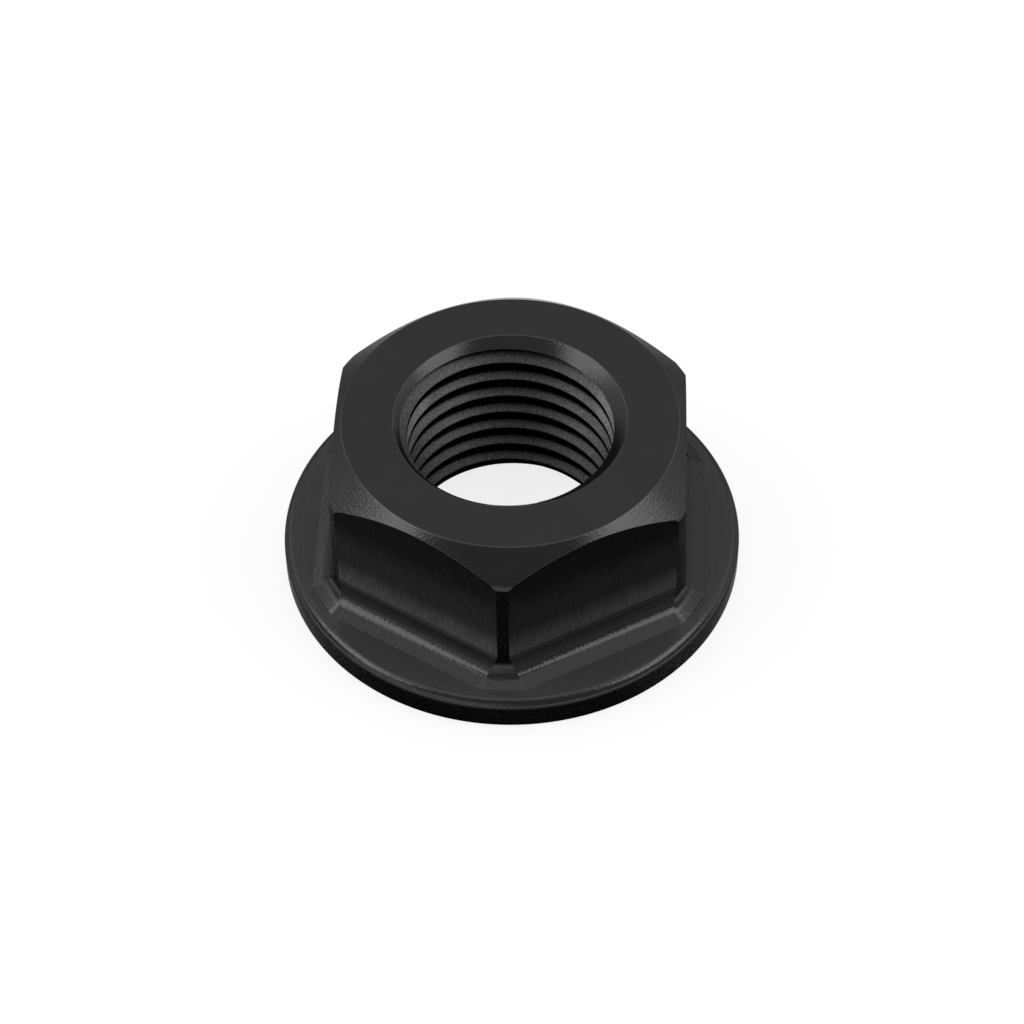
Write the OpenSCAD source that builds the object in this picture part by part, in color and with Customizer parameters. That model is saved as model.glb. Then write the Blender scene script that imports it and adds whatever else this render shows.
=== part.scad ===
// Hexagon nut with a turned flange, one machined piece. Millimetres, +Z up, the bearing face on z = 0
// and the thread along Z. The blank is turned, the six flats are milled into it with a radiused cutter,
// and the bore is drilled at the thread's minor diameter with a countersink at each end.

/* [Hexagon] */
// Width across the flats
across_flats = 18; // [16:0.5:20]
// Overall height, from the bearing face to the top face
nut_h = 10; // [8.5:0.5:14]
// Diameter turned over the six corners
corner_d = 20.44; // [20:0.02:20.7]
// Diameter of the flat ring on top, inside the turned cone
top_d = 17.3; // [15:0.1:17.8]
// Fall of the top cone, degrees from level
top_fall = 41.4; // [25:0.1:50]
// Height of the narrow break turned between the top cone and a corner
corner_break = 0.28; // [0.1:0.02:0.5]

/* [Flange] */
// Flange diameter
flange_d = 24.2; // [23:0.1:30]
// Height of the straight side of the flange
side_h = 1.31; // [0.8:0.01:1.6]
// Radius that rounds the upper rim of the flange
rim_r = 0.55; // [0.3:0.05:1.1]
// Width of the level ring between the rounded rim and the turned slope
ring_w = 0.33; // [0.1:0.01:0.6]
// Fall of the slope turned round the corners, degrees from level
flange_fall = 25.5; // [16:0.5:30]
// Radius turned at the foot of each corner
corner_foot_r = 1; // [0.2:0.05:1.2]
// Chamfer on the edge of the bearing face
edge_break = 0.12; // [0.05:0.01:0.3]

/* [Milled flats] */
// Radius the cutter leaves at the foot of a flat
flat_foot_r = 1.1; // [0.4:0.05:1.4]
// Width of the slope between that radius and the level floor
flat_slope_w = 0.59; // [0.3:0.01:1]
// Fall of that slope, degrees from level
flat_slope_fall = 22.5; // [16:0.5:30]
// Height of the level floor that the cutter leaves on the flange
floor_h = 1.84; // [1.7:0.01:2.1]

/* [Thread] */
// Nominal thread diameter
thread_d = 12; // [10:0.5:13]
// Thread pitch, which with the nominal diameter sets the bore
pitch = 1.25; // [1:0.05:1.75]
// Countersink diameter at the top face
top_sink_d = 12; // [11.6:0.1:14]
// Countersink diameter at the bearing face
base_sink_d = 12; // [11.6:0.1:14]
// Countersink half angle, degrees from the axis
sink_half = 45; // [30:1:60]

/* [Hidden] */
$fn = 96;
slack = 1;
hex_r = across_flats / 2;
land_r = corner_d / 2;
flange_r = flange_d / 2;
minor_r = (thread_d - 1.0825 * pitch) / 2;
// The corner break lies half way between the cone's slope and the upright corner
break_r = land_r - corner_break / tan((top_fall + 90) / 2);
break_h = nut_h - (break_r - top_d / 2) * tan(top_fall);
// The level ring lies on top of the rim's rounding
rim_x = flange_r - rim_r;
ring_x = rim_x - ring_w;
ring_z = side_h + rim_r;
// The turned foot radius sits between a corner land and the slope down to the ring
foot_cx = land_r + corner_foot_r;
foot_tx = foot_cx - corner_foot_r * sin(flange_fall);
foot_ty = ring_z + (ring_x - foot_tx) * tan(flange_fall);
foot_cy = foot_ty + corner_foot_r * cos(flange_fall);
// The top of the cutter's slope, and the centre of the radius that runs into it
cut_tx = hex_r + flat_foot_r * (1 - sin(flat_slope_fall));
cut_ty = floor_h + flat_slope_w * tan(flat_slope_fall);
cut_cx = hex_r + flat_foot_r;
cut_cy = cut_ty + flat_foot_r * cos(flat_slope_fall);

// Half section of the flange, up to its level ring
module flange_section() {
    polygon([
        [0, 0], [flange_r - edge_break, 0], [flange_r, edge_break],
        [flange_r, side_h], [rim_x, ring_z], [0, ring_z]
    ]);
    translate([rim_x, side_h]) circle(r = rim_r);
}

// Half section of the body over it, with the slope and radius at its foot
module body_section() {
    difference() {
        polygon([
            [0, side_h], [ring_x, side_h], [ring_x, ring_z],
            [foot_tx, foot_ty], [foot_cx, foot_cy], [land_r, foot_cy],
            [land_r, break_h - corner_break], [break_r, break_h],
            [top_d / 2, nut_h], [0, nut_h]
        ]);
        translate([foot_cx, foot_cy]) circle(r = corner_foot_r);
    }
}

// Section of the metal that one pass of the cutter takes away beside a flat
module cutter_section() {
    polygon([
        [hex_r, cut_cy], [cut_tx, cut_ty], [cut_tx + flat_slope_w, floor_h],
        [flange_r + slack, floor_h], [flange_r + slack, nut_h + slack], [hex_r, nut_h + slack]
    ]);
    translate([cut_cx, cut_cy]) circle(r = flat_foot_r);
}

module cutter_pass() {
    rotate([90, 0, 0])
        linear_extrude(height = flange_d + 2 * slack, center = true)
            cutter_section();
}

module bore() {
    translate([0, 0, -slack]) cylinder(h = nut_h + 2 * slack, r = minor_r);
    top_depth = (top_sink_d / 2 - minor_r) / tan(sink_half);
    base_depth = (base_sink_d / 2 - minor_r) / tan(sink_half);
    reach = slack * tan(sink_half);
    translate([0, 0, nut_h - top_depth])
        cylinder(h = top_depth + slack, r1 = minor_r, r2 = top_sink_d / 2 + reach);
    translate([0, 0, -slack])
        cylinder(h = base_depth + slack, r1 = base_sink_d / 2 + reach, r2 = minor_r);
}

module nut() {
    color([0.06, 0.06, 0.065])
        difference() {
            rotate_extrude() {
                flange_section();
                body_section();
            }
            for (side = [0:5]) rotate([0, 0, 60 * side]) cutter_pass();
            bore();
        }
}

nut();
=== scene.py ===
"""A black flange nut on a white table, seen from above one corner of its hexagon.

The nut is one machined piece. Its blank is turned, the flats are milled, and the bore is tapped."""

import math

import bmesh
import bpy
from mathutils import Matrix, Vector


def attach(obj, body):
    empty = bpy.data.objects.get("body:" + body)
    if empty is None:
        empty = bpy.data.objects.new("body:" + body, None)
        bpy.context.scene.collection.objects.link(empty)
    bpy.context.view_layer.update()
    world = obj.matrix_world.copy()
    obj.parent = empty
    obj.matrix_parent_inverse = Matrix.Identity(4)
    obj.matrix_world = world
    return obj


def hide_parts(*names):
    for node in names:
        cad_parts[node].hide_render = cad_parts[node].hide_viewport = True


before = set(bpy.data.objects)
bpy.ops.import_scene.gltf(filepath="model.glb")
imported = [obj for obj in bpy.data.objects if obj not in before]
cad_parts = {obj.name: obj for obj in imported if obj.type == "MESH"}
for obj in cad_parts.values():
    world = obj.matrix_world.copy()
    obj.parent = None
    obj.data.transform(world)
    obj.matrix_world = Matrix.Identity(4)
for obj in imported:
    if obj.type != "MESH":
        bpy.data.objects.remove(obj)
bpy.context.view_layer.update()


# The turned blank: one bar of steel, faced on top, coned at 41.4 degrees over the corners and turned
# down to a flange with two fine steps and a rounded rim. Both ends of the hole are countersunk. The
# mesh is worked in millimetres, as the drawing is, and brought to metres once the nut is whole.

MILLIMETRE = 0.001
STEPS = 180
FULL_TURN = 2 * math.pi
TURNED, FLAT, MILLED, THREAD = range(4)

nut_h = 10.0
top_r = 8.65
land_r = 10.22
break_h = 0.28
cone_fall = math.radians(41.4)
flange_r = 12.1
flange_fall = math.radians(25.5)
corner_foot_r = 1.0
foot_parts = 10
ring_x = 11.22
ring_z = 1.845
feed_steps = [(11.245, 1.857), (11.44, 1.845), (11.46, 1.855)]
rim_r = 0.54
rim_parts = 14
base_edge = 0.12
sink_r = 6.0
drill_r = 4.9
edge_round = 0.045
edge_parts = 3
blank_weld = 0.0005

break_r = land_r - break_h / math.tan((cone_fall + math.pi / 2) / 2)
cone_foot = nut_h - (break_r - top_r) * math.tan(cone_fall)
rim_x = flange_r - rim_r
side_h = ring_z - rim_r
foot_x = land_r + corner_foot_r
foot_end_x = foot_x - corner_foot_r * math.sin(flange_fall)
foot_end_z = ring_z + (ring_x - foot_end_x) * math.tan(flange_fall)
foot_z = foot_end_z + corner_foot_r * math.cos(flange_fall)
drill_depth = sink_r - drill_r


def line_through(mesh, start, points):
    """Carries a section on from its last corner through more corners, given as (across, up)."""
    for x, z in points:
        corner = mesh.verts.new((x, 0, z))
        if start is not None:
            mesh.edges.new((start, corner))
        start = corner
    return start


def corners_of(geometry):
    """The corners in a mixed list of a mesh's parts."""
    return [part for part in geometry if isinstance(part, bmesh.types.BMVert)]


def arc_from(mesh, start, centre, angle, parts):
    """Carries a section on along an arc, anticlockwise when the angle is positive."""
    turned = bmesh.ops.spin(mesh, geom=[start], cent=(centre[0], 0, centre[1]), axis=(0, -1, 0),
                            dvec=(0, 0, 0), angle=angle, steps=parts, use_duplicate=False)
    return corners_of(turned["geom_last"])[0]


def rounded(mesh, corners, radius, parts):
    """Rounds corners of a section."""
    bmesh.ops.bevel(mesh, geom=corners, affect="VERTICES", offset=radius, segments=parts,
                    profile=0.5, material=-1, clamp_overlap=False)


def shown(mesh, name):
    """Puts a finished mesh in the scene."""
    data = bpy.data.meshes.new(name)
    mesh.to_mesh(data)
    mesh.free()
    piece = bpy.data.objects.new(name, data)
    bpy.context.scene.collection.objects.link(piece)
    return piece


blank = bmesh.new()
first = line_through(blank, None, [(drill_r, drill_depth)])
last = line_through(blank, first, [(drill_r, nut_h - drill_depth)])
sink_top = line_through(blank, last, [(sink_r, nut_h)])
cone_top = line_through(blank, sink_top, [(top_r, nut_h)])
cone_low = line_through(blank, cone_top, [(break_r, cone_foot)])
land_top = line_through(blank, cone_low, [(land_r, cone_foot - break_h)])
last = line_through(blank, land_top, [(land_r, foot_z)])
last = arc_from(blank, last, (foot_x, foot_z), math.pi / 2 - flange_fall, foot_parts)
last = line_through(blank, last, [(ring_x, ring_z)] + feed_steps + [(rim_x, ring_z)])
last = arc_from(blank, last, (rim_x, side_h), -math.pi / 2, rim_parts)
wall_foot = line_through(blank, last, [(flange_r, base_edge)])
base_out = line_through(blank, wall_foot, [(flange_r - base_edge, 0)])
sink_low = line_through(blank, base_out, [(sink_r, 0)])
blank.edges.new((sink_low, first))
rounded(blank, [sink_top, cone_top, cone_low, land_top, wall_foot, base_out, sink_low],
        edge_round, edge_parts)
bmesh.ops.spin(blank, geom=blank.verts[:] + blank.edges[:], cent=(0, 0, 0), axis=(0, 0, 1),
               dvec=(0, 0, 0), angle=FULL_TURN, steps=STEPS, use_merge=True)
bmesh.ops.remove_doubles(blank, verts=blank.verts, dist=blank_weld)
bmesh.ops.recalc_face_normals(blank, faces=blank.faces)
nut = shown(blank, "flange_nut")


# The finish of the turned faces: steel with a thin black coating that stays satin. The tool's feed
# leaves fine rings in it, and upright faces are painted close to black, a painted shade set by how
# upright a face stands. Rates are marks to the millimetre, and a lie of 1 is level and of 0 upright.

black_tone = 0.056
# Upright faces take a painted shade tone, and painted light towards the left and right.
upright_shade_tone = 0.0045
side_light_tone = 0.02
side_light_from, side_light_to = 20.0, 110.0
satin = 0.14
edge_tint = 0.42
shade_free_lie = 0.42
ring_rates = (0.7, 0.7, 14.0)
grain_rate = 9.0
cloud_rate = 0.45
pit_rate = 15.0
flange_top, body_foot = 2.6, 2.9
# Heights over which the top face's edge gets its painted highlight.
highlight_top, highlight_full = 9.9, 9.95
turned_depth = 0.012


def arithmetic(tree, operation, *terms, clamped=False):
    """Adds one step of arithmetic to a finish; a term is a number or another step's result."""
    step = tree.nodes.new("ShaderNodeMath")
    step.operation = operation
    step.use_clamp = clamped
    for socket, term in zip(step.inputs, terms):
        if isinstance(term, (int, float)):
            socket.default_value = term
        else:
            tree.links.new(term, socket)
    return step.outputs[0]


def product(tree, *terms):
    """Multiplies any number of terms."""
    result = terms[0]
    for term in terms[1:]:
        result = arithmetic(tree, "MULTIPLY", result, term)
    return result


def between(tree, value, start, end, low, high):
    """Goes softly from low to high as the value goes from start to end."""
    ramp = tree.nodes.new("ShaderNodeMapRange")
    ramp.interpolation_type = "SMOOTHSTEP"
    for name, term in (("Value", value), ("From Min", start), ("From Max", end),
                       ("To Min", low), ("To Max", high)):
        if isinstance(term, (int, float)):
            ramp.inputs[name].default_value = term
        else:
            tree.links.new(term, ramp.inputs[name])
    return ramp.outputs[0]


def marks(tree, place, rates, seed, detail=2.0):
    """Uneven fine marks from 0 to 1, with so many to the millimetre along each of three ways."""
    spot = tree.nodes.new("ShaderNodeCombineXYZ")
    for socket, way, rate in zip(spot.inputs, place, rates):
        tree.links.new(arithmetic(tree, "MULTIPLY_ADD", way, rate, seed), socket)
    noise = tree.nodes.new("ShaderNodeTexNoise")
    noise.inputs["Scale"].default_value = 1.0
    noise.inputs["Detail"].default_value = detail
    tree.links.new(spot.outputs[0], noise.inputs["Vector"])
    return noise.outputs["Fac"]


def specks(tree, at, rate, seed, detail=2.0):
    """Marks of the same fineness every way."""
    return marks(tree, (at["x"], at["y"], at["z"]), (rate, rate, rate), seed, detail)


def black_finish(name, metal, roughness):
    """A new black finish, with its tree and the place on the nut: x, y, z and r in millimetres, how
    level the surface lies, and how much tone is left by the painted shade that darkens upright faces."""
    finish = bpy.data.materials.new(name)
    finish.use_nodes = True
    tree = finish.node_tree
    shader = tree.nodes["Principled BSDF"]
    shader.inputs["Metallic"].default_value = metal
    shader.inputs["Roughness"].default_value = roughness
    shader.inputs["Specular IOR Level"].default_value = 0.0
    shader.inputs["Specular Tint"].default_value = (edge_tint, edge_tint, edge_tint, 1)
    where = tree.nodes.new("ShaderNodeTexCoord")
    parts = tree.nodes.new("ShaderNodeSeparateXYZ")
    tree.links.new(where.outputs["Object"], parts.inputs[0])
    x, y, z = [arithmetic(tree, "DIVIDE", way, MILLIMETRE) for way in parts.outputs]
    across = product(tree, x, x)
    r = arithmetic(tree, "SQRT", arithmetic(tree, "MULTIPLY_ADD", y, y, across))
    facing = tree.nodes.new("ShaderNodeSeparateXYZ")
    tree.links.new(where.outputs["Normal"], facing.inputs[0])
    lie = facing.outputs["Z"]
    # Painted shade: a face gets its full tone only when it lies level enough, and upright faces go
    # dark.
    level_share = arithmetic(tree, "DIVIDE", lie, shade_free_lie, clamped=True)
    painted_lit_share = arithmetic(tree, "POWER", level_share, 2.0)
    at = {"x": x, "y": y, "z": z, "r": r, "across": across, "lie": lie, "painted_lit_share": painted_lit_share}
    return finish, tree, at


def lay_on(tree, tone, relief, depth):
    """Gives a finish its tone and the relief of its marks, whose depth is in millimetres."""
    shader = tree.nodes["Principled BSDF"]
    colour = tree.nodes.new("ShaderNodeCombineColor")
    for socket in colour.inputs:
        tree.links.new(tone, socket)
    tree.links.new(colour.outputs[0], shader.inputs["Base Color"])
    bump = tree.nodes.new("ShaderNodeBump")
    bump.inputs["Strength"].default_value = 1.0
    bump.inputs["Distance"].default_value = depth * MILLIMETRE
    tree.links.new(relief, bump.inputs["Height"])
    tree.links.new(bump.outputs[0], shader.inputs["Normal"])


turned_black, tree, at = black_finish("turned_black", 1.0, satin)
nut.data.materials.append(turned_black)

# The rings follow the tool outward, and down on the faces outside the hole or up on those inside it.
inside = arithmetic(tree, "LESS_THAN", at["r"], sink_r + edge_round)
hand = arithmetic(tree, "MULTIPLY_ADD", inside, 2.0, -1.0)
feed = arithmetic(tree, "MULTIPLY_ADD", at["z"], hand, at["r"])
rings = marks(tree, (at["x"], at["y"], feed), ring_rates, 3.0, 3.0)
grain = specks(tree, at, grain_rate, 7.0, 3.0)
clouds = specks(tree, at, cloud_rate, 11.0)
uneven = arithmetic(tree, "ADD", product(tree, rings, 0.12),
                    arithmetic(tree, "MULTIPLY_ADD", clouds, 0.16, 0.86))

# Upright faces are pitted and painted dark, with painted light towards the left and right of the nut.
pits = specks(tree, at, pit_rate, 15.0)
painted_side_light = between(tree, at["across"], side_light_from, side_light_to, 0.0, side_light_tone)
painted_upright_tone = product(tree, between(tree, pits, 0.38, 0.62, 0.1, 2.0),
               arithmetic(tree, "ADD", painted_side_light, upright_shade_tone),
               arithmetic(tree, "SUBTRACT", 1.0, at["painted_lit_share"]))
tone = arithmetic(tree, "MULTIPLY_ADD", at["painted_lit_share"], black_tone, painted_upright_tone)

# The edges of the top face get a painted highlight, a thin light line.
painted_edge_highlight = product(tree, between(tree, at["lie"], 0.78, 0.84, 0.0, 0.3),
                    between(tree, at["lie"], 0.97, 0.995, 1.0, 0.0),
                    between(tree, at["z"], highlight_top, highlight_full, 0.0, 1.0))
tone = product(tree, tone, arithmetic(tree, "ADD", painted_edge_highlight, 1.0))

# The flange's level ring is a little paler and mirrors less, and so do upright faces.
on_body = between(tree, at["z"], flange_top, body_foot, 0.0, 1.0)
ledge = product(tree, arithmetic(tree, "SUBTRACT", 1.0, on_body),
                between(tree, at["lie"], 0.93, 0.98, 0.0, 1.0))
tone = product(tree, tone, arithmetic(tree, "MULTIPLY_ADD", ledge, 0.12, 1.0))
metal = product(tree, between(tree, at["lie"], 0.05, 0.35, 0.25, 1.0),
                arithmetic(tree, "MULTIPLY_ADD", inside, -0.12, 1.0),
                arithmetic(tree, "MULTIPLY_ADD", ledge, -0.75, 1.0))
tree.links.new(metal, tree.nodes["Principled BSDF"].inputs["Metallic"])

# Level faces are turned the finest.
relief = product(tree, arithmetic(tree, "MULTIPLY_ADD", rings, 0.2, grain),
                 between(tree, at["lie"], 0.96, 0.995, 1.0, 0.2))
lay_on(tree, product(tree, tone, uneven), relief, turned_depth)


# The six flats: each is milled with one pass of a cutter that has a rounded corner, so a flat runs
# down over a hair's step into a radius, a slope at 22.5 degrees and a level floor that breaks through
# the flange's top. The edges left by the cutter are broken by hand.

flat_r = 9.0
flat_step = 0.03
foot_round = 1.1
round_parts = 12
slope_w = 0.59
slope_fall = math.radians(22.5)
floor_h = 1.84
reach = 14.0
slope_top_x = flat_r + foot_round * (1 - math.sin(slope_fall))
slope_top_z = floor_h + slope_w * math.tan(slope_fall)
flat_foot = slope_top_z + foot_round * math.cos(slope_fall)

brush_rates = (24.0, 1.2, 1.0)
patch_rates = (0.9, 0.6, 1.0)
# Painted light low on the flats and painted shade high on them.
low_light_tone, high_shade_tone = 0.062, 0.019
# The painted highlight on the broken edges of the flats.
edge_highlight_tone = 0.18
brush_depth = 0.003
streak_rates = (0.5, 11.0, 1.0)
chatter_rates = (7.0, 5.0, 1.0)
# The radius takes a painted shade tone where it stands upright.
radius_shade_tone, slope_tone = 0.026, 0.055
floor_gain = 0.008
chatter_depth = 0.010


def cut_from(piece, tool):
    """Takes a tool's shape out of the nut, as the machine does, and puts the tool away."""
    cut = piece.modifiers.new("cut", "BOOLEAN")
    cut.operation = "DIFFERENCE"
    cut.solver = "EXACT"
    cut.object = tool
    graph = bpy.context.evaluated_depsgraph_get()
    result = bpy.data.meshes.new_from_object(piece.evaluated_get(graph))
    piece.modifiers.clear()
    piece.data = result
    bpy.data.objects.remove(tool)


def beside_axis(tree, at):
    """The side of the hexagon that a point belongs to, from -3 to 3, a number that sets its marks
    apart from the other sides', and the way along that side and out to it in millimetres."""
    turn = arithmetic(tree, "ARCTAN2", at["y"], at["x"])
    side_no = arithmetic(tree, "ROUND", product(tree, turn, 3 / math.pi))
    aside = arithmetic(tree, "MULTIPLY_ADD", side_no, -math.pi / 3, turn)
    along = product(tree, at["r"], arithmetic(tree, "SINE", aside))
    out = product(tree, at["r"], arithmetic(tree, "COSINE", aside))
    return side_no, product(tree, side_no, 17.3), along, out


milled_flat, tree, at = black_finish("milled_flat", 0.0, 0.3)
nut.data.materials.append(milled_flat)

# Painted light lies low on each flat and painted shade higher up, a painted shade line sits in the
# crease at its foot, and the flats are painted lighter and darker in turn, as light falls more from one
# side.
side_no, apart, along, out = beside_axis(tree, at)
brushed = marks(tree, (along, at["z"], apart), brush_rates, 5.0, 3.0)
patchy = marks(tree, (along, at["z"], apart), patch_rates, 2.0)
height = arithmetic(tree, "MULTIPLY_ADD", patchy, 0.6, arithmetic(tree, "SUBTRACT", at["z"], 0.3))
painted_low_light = between(tree, height, 3.4, 5.3, low_light_tone, high_shade_tone)
painted_high_shade = between(tree, height, 5.8, 8.3, 1.0, 0.42)
painted_crease_shade = between(tree, at["z"], flat_foot + 0.13, flat_foot + 0.26, 0.45, 1.0)
# Painted light and shade: the flats are painted lighter and darker in turn.
painted_side_shade = arithmetic(tree, "COSINE", product(tree, side_no, math.pi))
painted_side_shade = arithmetic(tree, "MULTIPLY_ADD", painted_side_shade, 0.15, 0.95)
tone = product(tree, painted_low_light, painted_high_shade, painted_crease_shade, painted_side_shade, between(tree, brushed, 0.25, 0.75, 0.72, 1.28))
# The broken edges get a painted highlight.
painted_break_highlight = between(tree, at["lie"], 0.1, 0.25, 0.0, edge_highlight_tone)
lay_on(tree, arithmetic(tree, "ADD", tone, painted_break_highlight), brushed, brush_depth)

milled_foot, tree, at = black_finish("milled_foot", 1.0, 0.13)
nut.data.materials.append(milled_foot)

# The cutter chatters where the radius runs into the slope, and scores the level floor along its way.
side_no, apart, along, out = beside_axis(tree, at)
streaks = marks(tree, (along, out, apart), streak_rates, 5.0, 3.0)
chatter = marks(tree, (along, out, apart), chatter_rates, 9.0)
level = between(tree, at["lie"], 0.93, 0.98, 0.0, 1.0)
metal = product(tree, between(tree, at["lie"], 0.52, 0.72, 0.15, 1.0),
                arithmetic(tree, "MULTIPLY_ADD", level, -0.75, 1.0))
tree.links.new(metal, tree.nodes["Principled BSDF"].inputs["Metallic"])
# Painted shade: the radius is darker where it stands upright.
tone = arithmetic(tree, "ADD", between(tree, at["lie"], 0.4, 0.7, radius_shade_tone, slope_tone),
                  product(tree, level, floor_gain))
scored = arithmetic(tree, "MULTIPLY_ADD", streaks, level, product(tree, chatter, 0.4))
tone = product(tree, tone, arithmetic(tree, "MULTIPLY_ADD", scored, 0.4, 0.8))
torn_up = between(tree, at["lie"], 0.885, 0.92, 1.0, 0.2)
lay_on(tree, tone, product(tree, chatter, torn_up), chatter_depth)

for side in range(6):
    cutter = bmesh.new()
    first = line_through(cutter, None, [(flat_r, flat_foot + flat_step)])
    last = line_through(cutter, first, [(flat_r + flat_step, flat_foot)])
    last = arc_from(cutter, last, (flat_r + foot_round, flat_foot), math.pi / 2 - slope_fall,
                    round_parts)
    last = line_through(cutter, last, [(slope_top_x + slope_w, floor_h), (reach, floor_h),
                                       (reach, reach), (flat_r, reach)])
    cutter.edges.new((last, first))
    section = bmesh.ops.contextual_create(cutter, geom=cutter.edges[:])["faces"]
    bmesh.ops.translate(cutter, verts=cutter.verts, vec=(0, -reach, 0))
    drawn = bmesh.ops.extrude_face_region(cutter, geom=section)
    bmesh.ops.translate(cutter, vec=(0, 2 * reach, 0), verts=corners_of(drawn["geom"]))
    bmesh.ops.recalc_face_normals(cutter, faces=cutter.faces)
    for face in cutter.faces:
        face.material_index = FLAT if face.normal.x < -0.999 else MILLED
    bmesh.ops.rotate(cutter, verts=cutter.verts, cent=(0, 0, 0),
                     matrix=Matrix.Rotation(side * math.pi / 3, 3, "Z"))
    cut_from(nut, shown(cutter, "cutter"))


# The thread: a metric thread of 12 mm with a pitch of 1.25 mm, right-handed, tapped right through.
# The tap's section is carried round the axis on its helix, and over its last fifth of a turn the groove
# gets shallower until it ends in the countersink.

pitch = 1.25
root_r = 5.975
crest_r = 5.3234
crest_flat = 0.3125
flank_rise = (root_r - crest_r) * math.tan(math.radians(30))
crest_edge_z = 8.62
crest_edge_azimuth = 93.9
turns = 8.6
runout = 0.2
tap_start = crest_edge_z - crest_flat - pitch * crest_edge_azimuth / 360 - 8 * pitch
crest_round = 0.035
root_round = 0.06
tap_weld = 0.002

torn_rate = 13.0
torn_depth = 0.016
# Where the groove's painted shade begins, and the painted highlight on its flanks.
shade_depth = 5.72
flank_gain = 1.45
side_highlight_gain = 1.0

threaded_black, tree, at = black_finish("threaded_black", 0.8, 0.38)
nut.data.materials.append(threaded_black)

# The groove is painted black in its depth, a painted shade with a torn border, and its flanks get a
# painted highlight to the left and right. The painted shade starts deeper at the open end.
torn = specks(tree, at, torn_rate, 4.0)
open_end = between(tree, at["z"], 8.5, 8.8, 0.15, 0.30)
depth_in = arithmetic(tree, "SUBTRACT", at["r"], open_end)
depth_in = arithmetic(tree, "MULTIPLY_ADD", torn, 0.3, depth_in)
lit = between(tree, depth_in, shade_depth - 0.03, shade_depth + 0.03, flank_gain, 0.05)
# Painted highlight on the flanks to the left and right.
painted_side_highlight = product(tree, between(tree, at["z"], 5.5, 7.5, 0.0, 1.0),
                 between(tree, at["across"], 16.0, 24.0, 0.0, side_highlight_gain),
                 between(tree, at["z"], 8.5, 8.8, 1.0, 0.1))
lit = product(tree, lit, arithmetic(tree, "ADD", painted_side_highlight, 1.0))
tone = product(tree, at["painted_lit_share"], product(tree, lit, black_tone),
               between(tree, torn, 0.35, 0.65, 0.6, 1.3))
lay_on(tree, arithmetic(tree, "ADD", tone, 0.0004), torn, torn_depth)

tap = bmesh.new()
first = line_through(tap, None, [(crest_r, tap_start + crest_flat / 2)])
crest_top = line_through(tap, first, [(crest_r, tap_start + crest_flat)])
root_low = line_through(tap, crest_top, [(root_r, tap_start + crest_flat + flank_rise)])
root_top = line_through(tap, root_low, [(root_r, tap_start + pitch - flank_rise)])
crest_low = line_through(tap, root_top, [(crest_r, tap_start + pitch)])
line_through(tap, crest_low, [(crest_r, tap_start + pitch + crest_flat / 2)])
rounded(tap, [crest_top, crest_low], crest_round, 3)
rounded(tap, [root_low, root_top], root_round, 2)
swept = bmesh.ops.spin(tap, geom=tap.verts[:] + tap.edges[:], cent=(0, 0, 0), axis=(0, 0, 1),
                       dvec=(0, 0, pitch / STEPS), angle=turns * FULL_TURN,
                       steps=round(turns * STEPS), use_merge=False)
for remaining in range(round(runout * STEPS) - 1, -1, -1):
    swept = bmesh.ops.spin(tap, geom=swept["geom_last"], cent=(0, 0, 0), axis=(0, 0, 1),
                           dvec=(0, 0, pitch / STEPS), angle=FULL_TURN / STEPS, steps=1,
                           use_merge=False)
    for corner in corners_of(swept["geom_last"]):
        depth = max(corner.co.xy.length - crest_r, 0) * remaining / (remaining + 1)
        corner.co.xy = corner.co.xy.normalized() * (crest_r + depth)
bmesh.ops.remove_doubles(tap, verts=tap.verts, dist=tap_weld)
open_edges = [e for e in tap.edges if e.is_boundary]
rims = corners_of(bmesh.ops.extrude_edge_only(tap, edges=open_edges)["geom"])
for end in ([v for v in rims if v.co.z > nut_h / 2], [v for v in rims if v.co.z < nut_h / 2]):
    end_z = sum(v.co.z for v in end) / len(end)
    bmesh.ops.pointmerge(tap, verts=end, merge_co=(0, 0, end_z))
bmesh.ops.recalc_face_normals(tap, faces=tap.faces)
for face in tap.faces:
    face.material_index = THREAD
cut_from(nut, shown(tap, "tap"))


# The edges and the shading of the whole nut: the slivers that the cuts leave are welded, the edges
# over the flats are broken, and the cone gets the direction it was turned to, true to its surface.

fine_weld = 0.0008
outer_weld = 0.006
broken_edge = 0.03
sharp_turn = math.radians(16)
hair = 0.001
cone_slack = 0.01

finished = bmesh.new()
finished.from_mesh(nut.data)
bmesh.ops.remove_doubles(finished, verts=finished.verts, dist=fine_weld)
bmesh.ops.dissolve_degenerate(finished, dist=fine_weld, edges=finished.edges)
outside = [v for v in finished.verts if math.hypot(v.co.x, v.co.y) > sink_r + 4 * edge_round]
bmesh.ops.remove_doubles(finished, verts=outside, dist=outer_weld)
cut_edges = [e for e in finished.edges if e.is_manifold and e.is_convex
             and e.calc_face_angle() > sharp_turn
             and all(v.co.z > flat_foot - hair and math.hypot(v.co.x, v.co.y) > top_r
                     for v in e.verts)]
bmesh.ops.bevel(finished, geom=cut_edges, affect="EDGES", offset=broken_edge, segments=2,
                profile=0.5, material=-1, clamp_overlap=False, loop_slide=True)
bmesh.ops.recalc_face_normals(finished, faces=finished.faces)
bmesh.ops.scale(finished, vec=(MILLIMETRE,) * 3, verts=finished.verts)
finished.to_mesh(nut.data)
finished.free()

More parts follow.
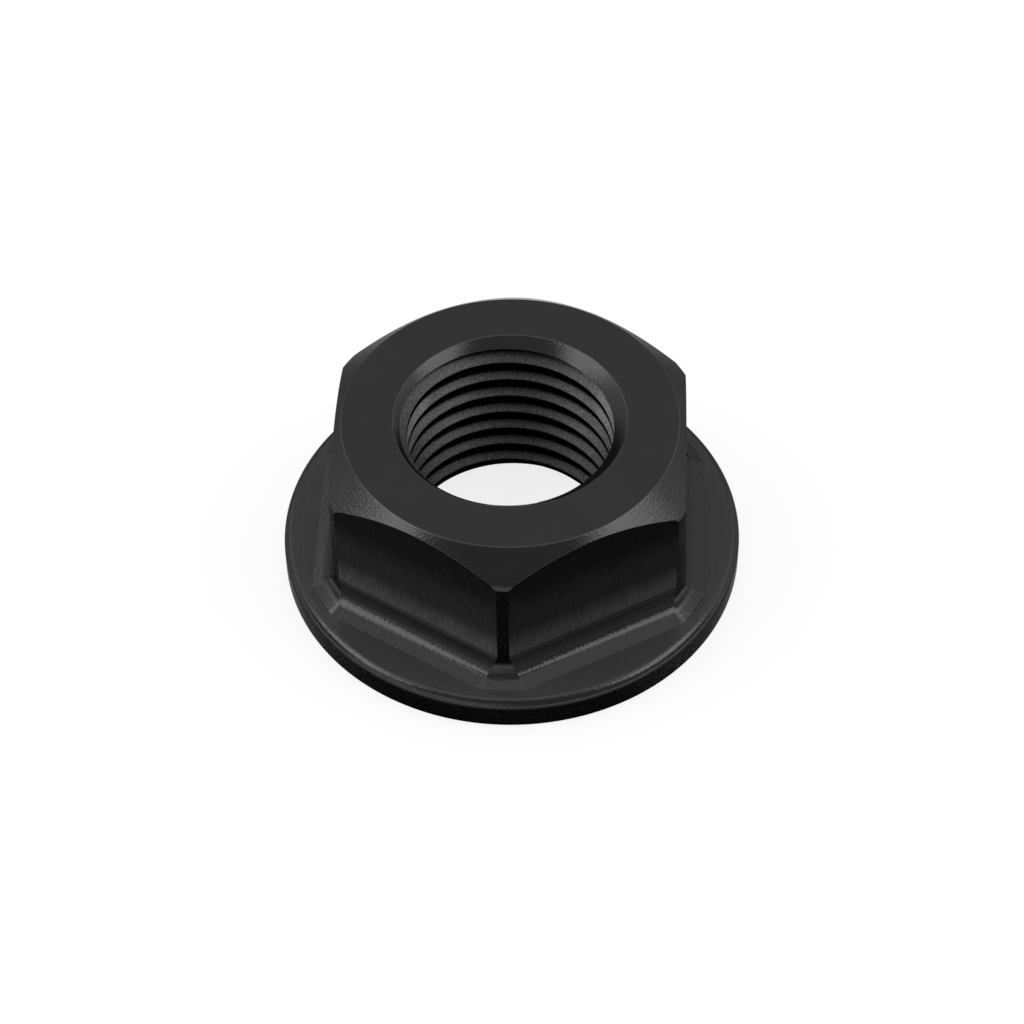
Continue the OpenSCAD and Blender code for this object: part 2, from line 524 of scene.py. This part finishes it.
for face in nut.data.polygons:
    face.use_smooth = True
nut.data.set_sharp_from_angle(angle=sharp_turn)
weighted = nut.modifiers.new("even shading", "WEIGHTED_NORMAL")
weighted.keep_sharp = True
weighted.weight = 50
graph = bpy.context.evaluated_depsgraph_get()
shaded = bpy.data.meshes.new_from_object(nut.evaluated_get(graph), preserve_all_data_layers=True,
                                         depsgraph=graph)
nut.modifiers.clear()
nut.data = shaded
facing_out = [corner.vector.copy() for corner in shaded.corner_normals]
for face in shaded.polygons:
    place = face.center / MILLIMETRE
    cone_z = nut_h - (math.hypot(place.x, place.y) - top_r) * math.tan(cone_fall)
    on_cone = abs(place.z - cone_z) < cone_slack and place.z < nut_h - edge_round
    if face.material_index == TURNED and on_cone:
        for corner in face.loop_indices:
            way = shaded.vertices[shaded.loops[corner].vertex_index].co.xy.normalized()
            facing_out[corner] = Vector((way.x * math.sin(cone_fall), way.y * math.sin(cone_fall),
                                         math.cos(cone_fall)))
shaded.normals_split_custom_set(facing_out)
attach(nut, "root")
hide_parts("nut")


# The table: white paper that the camera sees as white, with the nut's faint shadow kept on it.

paper_tone = 0.86
shadow_tone = 0.22
paper_glow = 0.82

floor_mesh = bmesh.new()
bmesh.ops.create_grid(floor_mesh, x_segments=8, y_segments=8, size=3.0)
table = shown(floor_mesh, "table")
paper = bpy.data.materials.new("white_paper")
paper.use_nodes = True
nodes, links = paper.node_tree.nodes, paper.node_tree.links
sheet = nodes["Principled BSDF"]
sheet.inputs["Base Color"].default_value = (paper_tone, paper_tone, paper_tone, 1)
sheet.inputs["Roughness"].default_value = 0.9
white = nodes.new("ShaderNodeBsdfPrincipled")
white.inputs["Base Color"].default_value = (shadow_tone, shadow_tone, shadow_tone, 1)
white.inputs["Roughness"].default_value = 1.0
white.inputs["Specular IOR Level"].default_value = 0.0
white.inputs["Emission Color"].default_value = (1, 1, 1, 1)
white.inputs["Emission Strength"].default_value = paper_glow
ray = nodes.new("ShaderNodeLightPath")
seen = nodes.new("ShaderNodeMath")
seen.operation = "MAXIMUM"
links.new(ray.outputs["Is Camera Ray"], seen.inputs[0])
links.new(ray.outputs["Is Glossy Ray"], seen.inputs[1])
seen_all = nodes.new("ShaderNodeMath")
seen_all.operation = "MAXIMUM"
links.new(seen.outputs[0], seen_all.inputs[0])
links.new(ray.outputs["Is Transmission Ray"], seen_all.inputs[1])
mix = nodes.new("ShaderNodeMixShader")
links.new(seen_all.outputs[0], mix.inputs["Fac"])
links.new(sheet.outputs[0], mix.inputs[1])
links.new(white.outputs[0], mix.inputs[2])
links.new(mix.outputs[0], nodes["Material Output"].inputs["Surface"])
table.data.materials.append(paper)


# The studio: bright softboxes to the left and right in front of large dim screens, a thin strip under
# each, and weaker lamps overhead, behind and in front, in a dim room. Each line gives the lamp's
# azimuth and elevation in degrees, its distance, width and height in metres, and its radiance.

room_light = 0.33

world = bpy.data.worlds.new("studio")
bpy.context.scene.world = world
world.use_nodes = True
world.node_tree.nodes["Background"].inputs["Color"].default_value = (1, 1, 1, 1)
world.node_tree.nodes["Background"].inputs["Strength"].default_value = room_light


def softbox(name, azimuth, elevation, distance, width, height, radiance):
    """A soft lamp of an even brightness, turned to the nut."""
    lamp = bpy.data.lights.new(name, "AREA")
    lamp.shape = "RECTANGLE"
    lamp.size, lamp.size_y = width, height
    lamp.energy = radiance * math.pi * width * height
    box = bpy.data.objects.new(name, lamp)
    bpy.context.scene.collection.objects.link(box)
    a, e = math.radians(azimuth), math.radians(elevation)
    place = Vector((math.cos(e) * math.cos(a), math.cos(e) * math.sin(a), math.sin(e))) * distance
    box.location = place
    box.rotation_euler = place.to_track_quat("Z", "Y").to_euler()
    box.visible_camera = False


softbox("softbox_left", -168, 43, 0.6, 0.36, 0.33, 2.2)
softbox("softbox_right", -12, 43, 0.6, 0.36, 0.33, 2.1)
softbox("screen_left", 150, 29, 0.7, 0.60, 0.74, 0.42)
softbox("screen_right", 30, 29, 0.7, 0.60, 0.74, 0.40)
softbox("strip_left", 153, 28, 0.7, 0.45, 0.04, 1.5)
softbox("strip_right", 28, 28, 0.7, 0.28, 0.04, 1.5)
softbox("softbox_overhead", 90, 84, 0.7, 0.80, 0.71, 0.60)
softbox("softbox_back", 93, 45, 0.7, 1.10, 0.45, 0.28)
softbox("softbox_front", -126, 18, 0.7, 0.90, 0.36, 0.46)
softbox("screen_back", 90, 9, 0.8, 1.40, 0.28, 0.34)


# The camera stands above one corner of the hexagon, near enough for the flange to look a little wider
# than the top.

camera_azimuth = math.radians(-87.122)
camera_elevation = math.radians(48.730)
camera_roll = math.radians(-0.775)
camera_distance = 150.547 * MILLIMETRE
sight_turn = math.radians(2.878)
sight_point = Vector((0.0272, 0, 2.7512))

camera_data = bpy.data.cameras.new("camera")
camera_data.lens = 99.976
camera_data.sensor_width = 36.0
camera = bpy.data.objects.new("camera", camera_data)
bpy.context.scene.collection.objects.link(camera)
look_at = Matrix.Rotation(sight_turn, 3, "Z") @ sight_point * MILLIMETRE
back = Vector((math.cos(camera_elevation) * math.cos(camera_azimuth),
               math.cos(camera_elevation) * math.sin(camera_azimuth), math.sin(camera_elevation)))
right = Vector((-math.sin(camera_azimuth), math.cos(camera_azimuth), 0))
up = back.cross(right)
turned_right = right * math.cos(camera_roll) + up * math.sin(camera_roll)
turned_up = up * math.cos(camera_roll) - right * math.sin(camera_roll)
stance = Matrix((turned_right, turned_up, back)).transposed().to_4x4()
stance.translation = look_at + back * camera_distance
camera.matrix_world = stance
bpy.context.scene.camera = camera

bpy.context.scene.view_settings.view_transform = "Standard"
